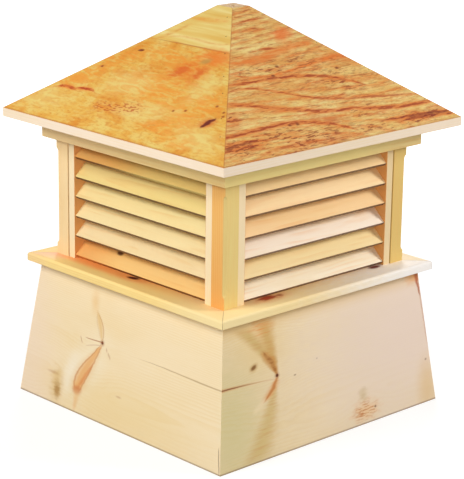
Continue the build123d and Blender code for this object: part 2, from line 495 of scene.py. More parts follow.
def mark_scar(wood):
    """A branch scar: two brown arms spread up from a dark point, and a broad band runs down from it."""
    lines = wood.smooth(wood.cloud(46, 3.4, shift=17.0), 0.46, 0.62)
    for points, widths, share, colour in SCAR_ARMS:
        arm = wood.stroke(points, widths, fade=18, rough=5)
        wood.stain(arm * share, colour)
        wood.stain(arm * lines * 0.25, tone(206, 134, 66))
    wood.dab((-186, 281), (26, 17), (lines * 0.7 + 0.3) * 0.85, tone(230, 142, 62), soft=0.8, rough=1.5)
    wood.line(SCAR_CORE, (5, 22, 12), 0.75, tone(208, 146, 76), fade=10, soft=0.7, rough=5)
    wood.line(SCAR_CORE, (3, 10, 2), (lines * 0.5 + 0.5) * 0.75, tone(160, 98, 44), soft=0.7, rough=6)
    wood.line(SCAR_TAIL, (5, 18, 12), 0.65, tone(230, 164, 92), rough=4)
    wood.line(SCAR_TAIL, (3, 8, 3), 0.75, tone(196, 116, 50), soft=0.8, rough=4)
    wood.line(SCAR_GLINT, (8, 11, 8), 0.45, CREAM, rough=2)
    dark_point(wood, (-153, 168))


def mark_skirt_right(wood):
    """The scar, a pin knot, a smudge of squiggles near the foot, and a brown knot at the far end."""
    # Painted shade and painted light: the right face is stained olive and greener towards its near corner,
    # and paler and pinker towards its far end, as the lamps light it
    wood.dab((-330, 100), (190, 260), 0.3, OLIVE)
    wood.dab((-296, 84), (80, 110), 0.45, tone(208, 202, 140))
    wood.stain(wood.smooth(wood.along, -140, 120) * 0.45, tone(236, 216, 188))
    wood.dab((330, 190), (330, 170), 0.7, tone(240, 216, 204))
    wood.dab((-196, 245), (50, 60), 0.45, STRAW, turn=60)
    mark_scar(wood)
    wood.dab((-217, 199), (11, 7), 0.7, tone(204, 158, 90), turn=25, soft=0.7, rough=1)
    wood.dab((-217, 199), (7, 3.8), 0.9, tone(128, 84, 40), turn=25, soft=0.6, rough=1)
    wood.dab((105, 30), (32, 19), 0.55, tone(238, 184, 116), rough=2.2)
    squiggles = wood.smooth(wood.cloud(20, 3.2, detail=3.0, shift=18.0), 0.48, 0.58)
    wood.dab((104, 29), (27, 17), squiggles * 0.85, tone(202, 120, 56), soft=0.8, rough=1.8)
    wood.dab((98, 66), (11, 12), 0.45, OLIVE, rough=1.8)
    wood.dab((305, 35), (26, 52), 0.5, tone(230, 188, 116))
    for place, size, share in RIGHT_SPECKS:
        wood.dab(place, size, share, tone(120, 60, 26), soft=0.5)
    # Painted shade: a darker yellow band at the top of the right face, under the sill's overhang
    wood.stain(wood.smooth(wood.across, 258, 300) * 0.6, tone(216, 180, 118))
    wood.dab((278, 290), (20, 14), 0.7, AMBER, soft=0.8, rough=2)
    wood.line(RIGHT_END_KNOT, (12, 7, 2), 0.85, tone(178, 82, 38), fade=6)
    wood.line(RIGHT_END_EDGE, (6, 5, 3), 0.4, KNOT_RIM, fade=20, rough=2)
    near = wood.fall(wood.along, -300, -180)
    wood.line(RIGHT_JOINT, (6, 4, 1.2), near * 0.4 + 0.25, tone(206, 126, 58), fade=20, rough=0.6)
    wood.line(RIGHT_JOINT, (2.6, 1.8, 0.8), near * 0.85, tone(112, 52, 24), fade=20, rough=0.4)


def mark_skirt_back(wood):
    wood.knot((150, 90), (19, 12), 15)
    wood.knot((-205, 225), (12, 8), -10, 0.8)
    wood.dab((-60, 60), (90, 40), 0.3, STRAW)


def mark_skirt_left(wood):
    wood.knot((-120, 210), (16, 11), -12)
    wood.knot((190, 60), (10, 7), 5, 0.8)
    wood.dab((60, 110), (110, 36), 0.3, STRAW)


SKIRT_MARKS = {
    "front": mark_skirt_front,
    "right": mark_skirt_right,
    "back": mark_skirt_back,
    "left": mark_skirt_left,
}
SKIRT_PULLS = {"front": pull_front, "right": pull_right}


def dress(node, material):
    """Puts one material on a piece of the frame."""
    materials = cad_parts[node].data.materials
    materials.clear()
    materials.append(material)


def dress_skirt():
    """Both boards of a side share a material, with other grain above their joint. A dark band along the
    foot is painted shade, the contact shadow where the skirt meets the floor.
    """
    for number, side in enumerate(SIDES):
        wood = pine(
            f"skirt {side}", BOARD_AXES[side], 3.1 + number * 2.7, CREAM, STRAW, gap=4.6,
            pith=(60, OUTWARD[side] * 250), wander=4.0, contrast=0.35, bend=SKIRT_PULLS.get(side),
            joint=BOARD_JOINT)
        SKIRT_MARKS[side](wood)
        # Painted shade: a dark band along the foot, where the skirt meets the floor
        wood.stain(wood.fall(wood.height, 1.4, 4.6) * 0.55, BARK)
        material = wood.finish()
        dress(f"skirt_lower_board_{side}", material)
        dress(f"skirt_upper_board_{side}", material)


# The sill, bed mould and eave

def mark_sill_front(wood):
    wood.stain(wood.smooth(wood.along, 60, 280) * 0.55, tone(250, 232, 182))
    wood.dab((-270, -280), (50, 26), 0.5, tone(244, 186, 176), turn=20)
    wood.dab((-130, -266), (110, 15), 0.7, tone(255, 144, 66))
    wood.dab((-17, -266), (46, 16), 0.5, tone(236, 132, 60), turn=8)
    wood.dab((-17, -263.5), (15, 7), 1.0, tone(74, 20, 8), turn=12, soft=0.4, rough=0.8)


def mark_sill_right(wood):
    wood.stain(wood.fall(wood.along, -260, 60) * 0.6, tone(252, 234, 184))
    wood.dab((20, 300), (150, 30), 0.6, tone(250, 226, 176))
    # Painted highlight: the far end of the right sill is stained near white, where the right-hand lamp
    # lights it
    wood.dab((300, 300), (240, 60), 0.95, tone(255, 250, 246))
    wood.dab((-141, 267), (44, 18), 0.5, tone(238, 130, 56), rough=1.2)
    wood.dab((-141, 266), (27, 10), 0.92, tone(178, 56, 22), turn=5, soft=0.5, rough=1.6)
    wood.dab((-112, 268), (9, 6), 0.8, tone(176, 74, 34), turn=5, soft=0.5, rough=1.6)
    wood.dab((184, 263), (17, 8), 0.95, tone(112, 24, 8), soft=0.5, rough=0.8)


def mark_sill_back(wood):
    # Painted highlight: the right end of the back sill, at the lit far corner, is stained near white
    wood.stain(wood.smooth(wood.along, 120, 280) * 0.7, tone(252, 240, 214))


def mark_mould_front(wood):
    wood.stain(wood.fall(wood.along, -260, 180) * 0.6, tone(255, 218, 166))


def mark_mould_right(wood):
    wood.stain(wood.fall(wood.along, 60, 280) * 0.6, tone(250, 232, 150))


SILL_MARKS = {"front": mark_sill_front, "right": mark_sill_right, "back": mark_sill_back}
MOULD_MARKS = {"front": mark_mould_front, "right": mark_mould_right}


def dress_sill(number, side):
    """The sill is warmer beside the louvres than at its edge. A fine dark line shows at its mitres."""
    out = OUTWARD[side]
    wood = pine(
        f"sill {side}", LEVEL_AXES[side], 20 + number, tone(255, 224, 146), tone(246, 196, 112),
        gap=3.2, pith=(out * 150, 200), wander=2.5, contrast=0.5)
    inside = wood.smooth(wood.across * out, SILL_HALF - 12, POST_FACE - 12)
    wood.stain(inside * (0.65 if side == "front" else 0.4), tone(255, 180, 88))
    if side in SILL_MARKS:
        SILL_MARKS[side](wood)
    off_mitre = (wood.along.size() - wood.across.size()).size()
    wood.stain(wood.fall(off_mitre, 0.3, 1.2) * 0.6, BARK)
    dress(f"sill_board_{side}", wood.finish())


def dress_mould(number, side):
    wood = pine(
        f"mould {side}", BOARD_AXES[side], 40 + number, tone(246, 220, 152), HONEY,
        gap=3.0, pith=(690, 0), wander=2.5, contrast=0.4)
    if side in MOULD_MARKS:
        MOULD_MARKS[side](wood)
    dress(f"bed_mould_{side}", wood.finish())


def dress_eave(number, side):
    wood = pine(
        f"eave {side}", BOARD_AXES[side], 30 + number, tone(246, 226, 202), STRAW,
        gap=3.4, pith=(900, 0), wander=2.5, contrast=0.25)
    dress(f"eave_board_{side}", wood.finish())


def dress_trim():
    for number, side in enumerate(SIDES):
        dress_sill(number, side)
        dress_mould(number, side)
        dress_eave(number, side)


# The lantern: posts, stiles and slats

POST_TONES = {
    "front_right": (tone(240, 188, 108), AMBER),
    "right_back": (tone(226, 196, 118), HONEY),
    "back_left": (STRAW, HONEY),
    "left_front": (tone(250, 222, 172), HONEY),
}


def dress_posts():
    """The near post shows an orange face to the front and a pale one to the right."""
    for number, (name, (pale, deep)) in enumerate(POST_TONES.items()):
        wood = pine(
            f"post {name}", "zxy", 50 + number * 1.7, pale, deep,
            gap=2.6, pith=(60, 100), wander=1.5, contrast=0.55)
        if name == "front_right":
            right = wood.smooth(wood.depth, 0.2 - POST_FACE, 1.2 - POST_FACE)
            foot = wood.fall(wood.along, POST_FOOT, POST_FOOT + 190)
            wood.stain(foot * 0.45, AMBER)
            wood.stain(right * (wood.cloud(90, 2.4) * 0.5 + 0.5), tone(236, 216, 140))
        dress(f"corner_post_{name}", wood.finish())


def dress_stiles():
    """The grooved faces of the stiles, beside the slats, are stained darker and warmer: painted shade,
    where the slats and posts shade them.
    """
    names = [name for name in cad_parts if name.startswith("louvre_stile_")]
    for number, name in enumerate(names):
        axes = "zxy" if "_front_near" in name or "_back_near" in name else "zyx"
        wood = pine(
            name.replace("_", " "), axes, 60 + number * 1.7, CREAM, STRAW,
            gap=2.8, pith=(40, 90), wander=1.5, contrast=0.35)
        if name == "louvre_stile_right_near_back":
            wood.stain(0.5, tone(226, 196, 140))
        # Painted shade: the stiles' inner faces beside the slats are stained amber
        inner = wood.fall(wood.across.size(), STILE_INNER + 0.1, STILE_INNER + 0.9)
        wood.stain(inner * 0.85, AMBER)
        dress(name, wood.finish())


# The slats' tones, from the lowest slat up. The front's top tone, a darker orange, is painted shade from
# the eave and bed mould above
SLAT_TONES = {
    "front": (
        tone(243, 196, 120), tone(242, 218, 168), tone(242, 220, 164),
        tone(240, 220, 158), tone(230, 208, 134), tone(230, 168, 86),
    ),
    "right": (
        tone(255, 240, 212), tone(252, 226, 168), tone(255, 238, 216),
        tone(252, 214, 158), tone(255, 226, 176), tone(255, 222, 166),
    ),
    "back": (CREAM, STRAW, CREAM, ROSY, STRAW, CREAM),
    "left": (STRAW, CREAM, ROSY, CREAM, HONEY, CREAM),
}


def mark_slats_front(wood, course):
    """The top slat is darker orange to the left and greener to the right: painted shade from the eave and
    bed mould above. The lowest is orange to the left. One has a dark knot.
    """
    # Painted shade: the top slat's shadow from the eave is lighter and greener to the right
    top = wood.smooth(course, SLAT_COUNT - 1.6, SLAT_COUNT - 1.4)
    wood.stain(top * wood.smooth(wood.along, -150, 60) * 0.7, tone(228, 206, 124))
    lowest = wood.fall(course, 0.4, 0.6)
    wood.stain(lowest * wood.fall(wood.along, -190, -60) * 0.7, tone(232, 160, 84))
    wood.dab((-89.7, 355.5), (9, 3.5), 0.9, tone(74, 26, 14), soft=0.5, rough=1)


def slat_timber(number, side):
    """Each course is cut from another board, so it has its own tone. The slats' lower edges are stained
    near black: painted shade, as they face down into the gaps between the slats.
    """
    wood = Timber(f"slats {side}", BOARD_AXES[side], 70 + number * 2.3)
    course = wood.field("ShaderNodeAttribute", {"attribute_name": "course"}, None, output=2)
    stops = [((i + 0.5) / SLAT_COUNT, colour) for i, colour in enumerate(SLAT_TONES[side])]
    base = wood.ramp((course + 0.5) / SLAT_COUNT, *stops)
    late = wood.rings(5.2, (course * 90 + 60, OUTWARD[side] * 160), 5.0)
    patchy = wood.smooth(wood.cloud(150, 18, shift=2.0), 0.4, 0.7)
    fibre = wood.cloud(44, 1.2, detail=3.0, shift=1.0)
    slow = wood.smooth(wood.cloud(200, 30, shift=4.0), 0.4, 0.75)
    wood.colour = wood.blend(late * patchy * 0.3, base, wood.blend(1.0, base, HONEY, "MULTIPLY"))
    wood.stain(slow * 0.3, STRAW)
    wood.stain(wood.smooth(fibre, 0.5, 0.8) * 0.16, HONEY)
    facing = wood.node("ShaderNodeTexCoord").outputs["Normal"]
    split = wood.node("ShaderNodeSeparateXYZ", None, {0: facing}).outputs
    down = wood.smooth(Field(wood, split["Z"]) * -1, 0.2, 0.5)
    outward = Field(wood, split["Y" if side in ("front", "back") else "X"]) * OUTWARD[side]
    # Painted shade: the lower edges of the slats, which face down and out, are stained dark brown
    wood.stain(down * wood.smooth(outward, 0.3, 0.6) * 0.85, tone(92, 42, 18))
    if side == "front":
        mark_slats_front(wood, course)
    wood.relief = late * -0.3 + fibre
    wood.roughness = fibre * 0.12 + 0.55
    return wood.finish()


def new_group(name, output, *inputs):
    """Starts a geometry tree whose inputs have a name, kind and value. Returns its graph and inputs."""
    tree = bpy.data.node_groups.new(name, "GeometryNodeTree")
    for label, kind, value in inputs:
        socket = tree.interface.new_socket(label, in_out="INPUT", socket_type="NodeSocket" + kind)
        if value is not None:
            socket.default_value = value
    tree.interface.new_socket(output, in_out="OUTPUT", socket_type="NodeSocketGeometry")
    graph = Graph(tree)
    given = graph.node("NodeGroupInput").outputs
    return graph, {label: Field(graph, given[label]) for label, kind, value in inputs}


def close_group(graph, copies, material):
    """Makes the copies real, gives them their material and hands them on. Returns the tree."""
    real = graph.field("GeometryNodeRealizeInstances", None, {"Geometry": copies})
    inputs = {"Geometry": real, "Material": material}
    graph.node("NodeGroupOutput", None, {0: graph.field("GeometryNodeSetMaterial", None, inputs)})
    return graph.tree


def louvre_bank():
    """A bank of slats: one eased strip is swept, tipped to its slope and stepped up the opening."""
    graph, given = new_group(
        "louvre bank",
        "Bank",
        ("Slats", "Int", SLAT_COUNT),
        ("Length", "Float", (BANK_HIGH.x - BANK_LOW.x) * MM),
        ("Width", "Float", SLAT_WIDTH * MM),
        ("Thickness", "Float", SLAT_THICKNESS * MM),
        ("Edge ease", "Float", SLAT_EASE * MM),
        ("Slope", "Float", SLAT_SLOPE),
        ("Pitch", "Float", SLAT_PITCH * MM),
        ("First tip height", "Float", SLAT_FIRST_TIP * MM),
        ("Tip distance", "Float", -BANK_LOW.y * MM),
        ("Facing", "Float", 0.0),
        ("Wood", "Material", None),
    )
    half = given["Length"] / 2
    inputs = {"Start": graph.vector(0 - half), "End": graph.vector(half)}
    line = graph.field("GeometryNodeCurvePrimitiveLine", {"mode": "POINTS"}, inputs)
    inputs = {"Width": given["Width"], "Height": given["Thickness"]}
    section = graph.field("GeometryNodeCurvePrimitiveQuadrilateral", {"mode": "RECTANGLE"}, inputs)
    inputs = {"Curve": section, "Count": 2, "Radius": given["Edge ease"], "Limit Radius": True}
    eased = graph.field("GeometryNodeFilletCurve", {"mode": "POLY"}, inputs)
    inputs = {"Curve": line, "Profile Curve": eased, "Fill Caps": True}
    strip = graph.field("GeometryNodeCurveToMesh", None, inputs)
    middle = graph.vector(y=given["Width"] / 2, z=given["Thickness"] * -0.5)
    laid = graph.field("GeometryNodeTransform", None, {"Geometry": strip, "Translation": middle})
    inputs = {"Geometry": laid, "Rotation": graph.vector(given["Slope"])}
    tipped = graph.field("GeometryNodeTransform", None, inputs)
    start = graph.vector(y=0 - given["Tip distance"], z=given["First tip height"])
    inputs = {"Count": given["Slats"], "Start Location": start, "Offset": graph.vector(z=given["Pitch"])}
    courses = graph.field("GeometryNodeMeshLine", {"mode": "OFFSET"}, inputs)
    stack = graph.field("GeometryNodeInstanceOnPoints", None, {"Points": courses, "Instance": tipped})
    settings = {"data_type": "FLOAT", "domain": "INSTANCE"}
    inputs = {"Geometry": stack, "Name": "course", "Value": graph.field("GeometryNodeInputIndex")}
    named = graph.field("GeometryNodeStoreNamedAttribute", settings, inputs)
    inputs = {"Geometry": named, "Rotation": graph.vector(z=given["Facing"])}
    return close_group(graph, graph.field("GeometryNodeTransform", None, inputs), given["Wood"])


def grow(name, mesh, tree, values):
    """Runs a tree on a mesh, each input set by its identifier, and keeps the result as a plain mesh."""
    holder = bpy.data.objects.new(name, mesh)
    bpy.context.scene.collection.objects.link(holder)
    modifier = holder.modifiers.new(name, "NODES")
    modifier.node_group = tree
    keys = {item.name: item.identifier for item in tree.interface.items_tree if item.in_out == "INPUT"}
    for label, value in values.items():
        modifier[keys[label]] = value
    holder.update_tag()
    ready = holder.evaluated_get(bpy.context.evaluated_depsgraph_get())
    result = bpy.data.meshes.new_from_object(ready)
    holder.modifiers.remove(modifier)
    holder.data = result
    result.name = name
    return holder


def hang_slats():
    """One bank of slats a side, in the place of the plain ones."""
    tree = louvre_bank()
    for number, side in enumerate(SIDES):
        values = {"Facing": radians(90) * number, "Wood": slat_timber(number, side)}
        bank = grow(f"slats_{side}", bpy.data.meshes.new("bank"), tree, values)
        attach(bank, "root")
        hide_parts(f"louvre_slats_{side}")


# The roof. Marks lie so far along the eave and so far up the slope.

DARK_RED = tone(124, 36, 18)
BROWN = tone(160, 66, 28)
ORANGE = tone(222, 120, 46)
YELLOW_PLY = (tone(232, 202, 112), tone(230, 180, 80), tone(222, 146, 48))
TAN_PLY = (tone(236, 212, 138), tone(230, 196, 116), tone(220, 162, 84))
GOLD = tone(232, 178, 84)
UPPER_VENEER = ((0.35, tone(240, 216, 138)), (0.52, tone(234, 202, 114)), (0.7, tone(228, 182, 86)))


def plywood(name, axes, seed, tones, blotch, swirl):
    """Sanded plywood: a rotary-cut face, with wild figure, fine checks and flecks."""
    wood = Timber(name, axes, seed, ROOF_SLOPE)
    pale, middle, deep = tones
    mottle = wood.cloud(*blotch, detail=5.0, shift=6.0, swirl=swirl)
    streaky = wood.cloud(60, 6, detail=3.0, shift=8.0)
    wood.colour = wood.ramp(mottle * 0.78 + streaky * 0.22, (0.34, pale), (0.5, middle), (0.66, deep))
    wood.wisps = wood.cloud(46, 15, detail=5.0, shift=19.0, swirl=swirl)
    wood.stain(wood.smooth(wood.wisps, 0.52, 0.62) * 0.45, deep)
    wood.stain(wood.smooth(1 - wood.wisps, 0.52, 0.62) * 0.45, pale)
    fine = wood.cloud(11, 5, shift=1.0)
    wood.stain(wood.smooth(fine, 0.5, 0.66) * 0.3, wood.blend(1.0, wood.colour, deep, "MULTIPLY"))
    wood.relief = fine + streaky * 0.6
    wood.roughness = streaky * 0.12 + 0.56
    return wood


ORANGE_CURLS = (
    ((-30, 150), (70, 34), 10),
    ((150, 103), (50, 40), -30),
    ((60, 130), (50, 32), 10),
    ((-152, 202), (46, 20), 25),
    ((-209, 132), (60, 22), 30),
    ((186, 138), (38, 28), -40),
    ((104, 56), (40, 16), 0),
    ((195, 32), (50, 14), 0),
    ((-10, 236), (90, 22), 0),
)
PALE_CURLS = (
    ((-73, 144), (58, 30), 10),
    ((132, 174), (30, 34), -20),
    ((-262, 53), (60, 26), 10),
    ((25, 67), (46, 14), 0),
    ((231, 50), (60, 26), -10),
    ((60, 90), (60, 16), 5),
)
UPPER_VEINS = (
    (((-106, 274), (-85, 292), (-66, 312), (-48, 330)), (9, 14, 12), 0.6, GOLD, tone(216, 148, 64)),
    (((-52, 352), (-20, 354), (10, 357), (40, 361)), (8, 14, 10), 0.5, tone(236, 170, 76), AMBER),
    (((-84, 285), (-40, 296), (20, 295), (112, 306)), (3, 7, 4), 0.5, HONEY, tone(218, 156, 74)),
)
VENEER_JOINT = ((-96, 275), (-20, 276.5), (50, 277), (124, 277.5))
FRONT_SLIT = ((-124, 234), (-119, 236), (-114, 236.5), (-107, 237.5))
RED_STREAKS = (
    ((-252, 92), (-232, 97), (-214, 97), (-197, 94)),
    ((-198, 97), (-180, 101), (-162, 104), (-142, 101)),
)
DARK_SPLIT = ((213, 79), (218, 90), (222, 98), (228, 109))


def mark_upper_veneer(wood, broken):
    """Above a joint, the front panel is faced with straighter and paler veneer."""
    above = wood.smooth(wood.across + wood.wobble * 3, 274, 280)
    straight = wood.cloud(200, 16, detail=3.0, shift=11.0, swirl=0.3)
    wood.stain(above, wood.ramp(straight, *UPPER_VENEER))
    for points, widths, share, glow, heart in UPPER_VEINS:
        wood.vein(points, widths, share, glow, heart, broken)
    wood.line(VENEER_JOINT, (1.5, 3, 4), 0.7, KNOT_RIM, fade=20, rough=0.8)


def mark_roof_front(wood):
    """Orange and pale curls, a knot and its red streaks, a dark split, and a cluster of small flecks."""
    curls = wood.smooth(wood.wisps, 0.42, 0.56)
    for place, size, turn in ORANGE_CURLS:
        wood.dab(place, size, curls * 0.6 + 0.2, tone(236, 152, 54), turn=turn, rough=2.4)
    for place, size, turn in PALE_CURLS:
        wood.dab(place, size, 0.75 - curls * 0.3, tone(234, 208, 124), turn=turn, rough=2.0)
    broken = wood.smooth(wood.cloud(18, 5, shift=17.0), 0.36, 0.6)
    mark_upper_veneer(wood, broken)
    wood.dab((100, 258), (44, 20), 0.8, tone(234, 120, 36), soft=0.8, rough=1.8)
    for place, (long, wide), turn in (((41, 206), (22, 13), 40), ((88, 209), (16, 12), 60)):
        wood.dab(place, (long * 1.8, wide * 2.0), 0.55, tone(232, 130, 40), turn=turn, rough=2.4)
        wood.dab(place, (long, wide), 0.75, tone(216, 92, 28), turn=turn, rough=3.2)
    wood.dab((80, 244), (12, 7), 0.6, tone(172, 152, 80), turn=30, rough=1.6)
    wood.line(FRONT_SLIT, (2, 6, 3), 0.95, tone(110, 26, 8), fade=3, soft=0.7, rough=1)
    wood.dab((-181, 171), (8, 5), 0.5, tone(216, 104, 36), turn=10)
    wood.dab((-181, 171), (4, 2.6), 0.85, tone(130, 36, 12), turn=10, soft=0.5)
    red = tone(176, 56, 16)
    for points in RED_STREAKS:
        wood.vein(points, (6, 11, 6), 0.95, tone(230, 122, 40), red, broken * 0.5 + 0.5, rough=5.0)
    wood.line(DARK_SPLIT, (16, 28, 14), 0.75, tone(206, 84, 30), rough=7)
    wood.line(DARK_SPLIT, (5, 12, 6), 0.97, tone(98, 24, 8), fade=4, soft=0.5, rough=7)
    for place in ((140, 110), (110, 102), (207, 139), (236, 128), (243, 118)):
        wood.dab(place, (3.4, 2.8), 0.8, tone(140, 46, 14), soft=0.7)
    flecks = wood.smooth(wood.cloud(10, 4, detail=0.0, shift=15.0), 0.52, 0.64)
    grouped = wood.spot((-74, 70), (36, 14), soft=0.6) + wood.spot((-8, 82), (38, 16), turn=8, soft=0.6)
    wood.stain(grouped.at_most(1) * 0.35, tone(226, 142, 58))
    wood.stain(flecks * grouped.at_most(1) * 0.75, tone(186, 78, 28))


# The strong lines of the right-hand panel: places, widths, strength and colour
RIGHT_VEINS = (
    (((-191, 196), (-100, 194), (20, 187), (156, 137)), (7, 11, 8), 0.95, BROWN),
    (((-199, 180), (-110, 169), (-30, 136), (86, 122)), (5, 8, 10), 0.75, BROWN),
    (((-228, 150), (-139, 124), (-30, 93), (80, 81)), (10, 13, 8), 0.95, BROWN),
    (((80, 81), (150, 66), (220, 59), (296, 58)), (9, 12, 6), 0.9, BROWN),
    (((-298, 69), (-190, 74), (-60, 66), (42, 25)), (9, 13, 7), 0.95, BROWN),
    (((-261, 109), (-250, 108), (-238, 107), (-222, 106)), (8, 12, 6), 0.95, DARK_RED),
    (((-316, 46), (-280, 49), (-245, 49), (-200, 44)), (7, 9, 5), 0.98, DARK_RED),
    (((-318, 35), (-285, 38), (-250, 38), (-215, 34)), (6, 8, 4), 0.95, DARK_RED),
    (((-146, 251), (-80, 250), (0, 262), (106, 270)), (10, 18, 10), 0.75, ORANGE),
    (((-40, 275), (-27, 275), (-14, 274), (2, 272)), (4, 7, 4), 0.8, BROWN),
    (((-156, 217), (-60, 203), (60, 217), (172, 222)), (6, 10, 20), 0.8, ORANGE),
    (((-48, 378), (-24, 382), (0, 386), (24, 389)), (4, 7, 4), 0.7, BROWN),
    (((-52, 355), (-30, 358), (-4, 360), (24, 359)), (4, 6, 4), 0.7, BROWN),
    (((-58, 328), (-40, 331), (-20, 334), (0, 334)), (4, 6, 4), 0.7, BROWN),
    (((135, 33), (190, 32), (255, 30), (322, 25)), (6, 9, 6), 0.98, DARK_RED),
    (((165, 23), (215, 23), (275, 20), (334, 16)), (6, 11, 6), 0.98, DARK_RED),
    (((30, 113), (110, 105), (190, 95), (276, 86)), (5, 9, 6), 0.65, BROWN),
    (((-250, 8), (-150, 18), (-40, 12), (60, 16)), (7, 12, 6), 0.6, BROWN),
)
CORNER_STREAKS = (
    (((205, 29), (245, 27), (285, 26), (325, 23)), (3, 7, 3)),
    (((-318, 43), (-295, 45), (-270, 47), (-240, 45)), (3, 6, 2)),
)
# Where the face is torn and flecked: place, size, turn, softness and strength
ROUGH_PATCHES = (
    ((-170, 26), (170, 36), 0, 0.8, 1.0),
    ((-20, 222), (150, 22), 3, 0.9, 0.8),
    ((200, 22), (150, 16), 0, 0.8, 1.0),
    ((85, 158), (80, 26), 0, 0.9, 1.0),
    ((110, 70), (70, 14), 0, 0.9, 1.0),
    ((-235, 112), (40, 12), 0, 0.9, 1.0),
)


def mark_flecks_right(wood):
    """Dark checks and torn grain, in patches."""
    flecks = wood.smooth(wood.cloud(17, 3.4, shift=15.0), 0.52, 0.62)
    patches = wood.smooth(wood.cloud(70, 16, shift=23.0), 0.42, 0.58)
    rough = 0
    for place, size, turn, soft, strength in ROUGH_PATCHES:
        rough = wood.spot(place, size, turn=turn, soft=soft) * strength + rough
    wood.stain(rough.at_most(1) * patches * 0.4, tone(214, 120, 56))
    wood.stain(flecks * (rough * 0.8 + 0.2).at_most(1) * (patches * 0.7 + 0.3) * 0.9, tone(126, 38, 14))


def mark_roof_right(wood):
    """Strong reddish lines over tan, which fan out towards the top."""
    fan = 0.0115 - wood.across * 0.00006
    lines = wood.figure(21, 4, 420, 90, lean=fan, edge=0.75)
    broken = wood.smooth(wood.cloud(36, 5, detail=3.0, shift=17.0), 0.44, 0.54)
    wood.stain(lines * (broken * 0.7 + 0.3) * 0.55, ORANGE)
    top = wood.smooth(wood.across, 230, 300)
    wood.stain(lines * top * 0.15, BROWN)
    streaks = wood.smooth(wood.cloud(120, 7, detail=3.0, shift=27.0), 0.54, 0.62)
    wood.stain(streaks * (broken * 0.7 + 0.3) * 0.4, tone(206, 104, 44))
    dashes = wood.smooth(wood.cloud(26, 2.2, detail=3.0, shift=33.0), 0.53, 0.6)
    wood.stain(dashes * (lines * 0.7 + 0.3) * 0.5, tone(150, 74, 34))
    for points, widths, share, colour in RIGHT_VEINS:
        wood.vein(points, widths, share, ORANGE, colour, broken * 0.8 + 0.2, rough=4.0)
    for points, widths in CORNER_STREAKS:
        wood.line(points, widths, 0.8, tone(96, 26, 16), fade=12, soft=0.7, rough=7)
    wood.dab((50, 307), (28, 16), 0.75, tone(228, 110, 44), turn=20, soft=0.8, rough=1.5)
    wood.dab((-10, 66), (34, 11), 0.6, RUST, turn=-15, soft=0.8, rough=2.5)
    for place in ((121, 192), (-32, 223), (-117, 69), (-96, 68), (-60, 201)):
        wood.dab(place, (5, 3.2), 0.85, tone(104, 34, 14), soft=0.6, rough=1)
    mark_flecks_right(wood)


def mark_roof_plain(wood):
    """An unseen panel: the same veneer, with lines that only the seed decides."""
    lines = wood.rings(26, (620, 0), 5.0)
    wood.stain(lines * wood.smooth(wood.cloud(160, 30, shift=21.0), 0.4, 0.7) * 0.6, RUST)
    flecks = wood.smooth(wood.cloud(7, 1.8, detail=0.0, shift=15.0), 0.68, 0.76)
    wood.stain(flecks * 0.5, tone(128, 66, 36))


ROOF_FINISHES = {
    "front": (YELLOW_PLY, (120, 90), 1.4, mark_roof_front),
    "right": (TAN_PLY, (170, 26), 0.3, mark_roof_right),
    "back": (YELLOW_PLY, (150, 70), 1.0, mark_roof_plain),
    "left": (TAN_PLY, (170, 26), 0.3, mark_roof_plain),
}


def dress_roof():
    """Each panel has its own face, with a darker line along its hips and its foot."""
    for number, (side, (tones, blotch, swirl, mark)) in enumerate(ROOF_FINISHES.items()):
        wood = plywood(f"roof {side}", BOARD_AXES[side], 90 + number * 3.3, tones, blotch, swirl)
        mark(wood)
        hip = EAVE_HALF - wood.across * cos(ROOF_SLOPE) - wood.along.size()
        wood.stain(wood.fall(hip, 0.6, 2.8) * 0.5, KNOT_RIM)
        wood.stain(wood.fall(wood.across, 1.5, 5.5) * 0.5, KNOT_RIM)
        dress(f"roof_panel_{side}", wood.finish())


def dress_block():
    """The block is raw end grain, which hardly shines."""
    wood = pine(
        "block", "zxy", 80, tone(206, 168, 112), tone(160, 104, 74),
        gap=3.0, pith=(0, 10), wander=1.0, contrast=0.6)
    dress("mounting_block", wood.finish(shine=0.02))


def nail_rows():
    """Nail heads in rows: each edge of a mesh is one row, and its facing points away from the wood."""
    graph, given = new_group(
        "nail rows",
        "Nails",
        ("Rows", "Geometry", None),
        ("Pitch", "Float", NAIL_PITCH * MM),
        ("Wander", "Float", NAIL_WANDER * MM),
        ("Head radius", "Float", NAIL_RADIUS * MM),
        ("Head height", "Float", NAIL_HEIGHT * MM),
        ("Seed", "Int", 4),
        ("Steel", "Material", None),
    )
    rows = graph.field("GeometryNodeMeshToCurve", None, {"Mesh": given["Rows"]})
    inputs = {"Curve": rows, "Length": given["Pitch"]}
    spaced = graph.field("GeometryNodeResampleCurve", {"mode": "LENGTH"}, inputs)
    inputs = {2: 0 - given["Wander"], 3: given["Wander"], "Seed": given["Seed"]}
    shift = graph.field("FunctionNodeRandomValue", {"data_type": "FLOAT"}, inputs, output=1)
    inputs = {0: graph.field("GeometryNodeInputTangent"), "Scale": shift}
    slide = graph.field("ShaderNodeVectorMath", {"operation": "SCALE"}, inputs)
    places = graph.field("GeometryNodeSetPosition", None, {"Geometry": spaced, "Offset": slide})
    settings = {"data_type": "FLOAT_VECTOR"}
    facing = graph.field("GeometryNodeInputNamedAttribute", settings, {"Name": "facing"})
    turned = graph.field("FunctionNodeAlignRotationToVector", {"axis": "Z"}, {"Vector": facing})
    radius = given["Head radius"]
    inputs = {"Vertices": 12, "Radius Top": radius * 0.7, "Radius Bottom": radius}
    inputs["Depth"] = given["Head height"]
    head = graph.field("GeometryNodeMeshCone", {"fill_type": "NGON"}, inputs)
    inputs = {"Points": places, "Instance": head, "Rotation": turned}
    return close_group(graph, graph.field("GeometryNodeInstanceOnPoints", None, inputs), given["Steel"])


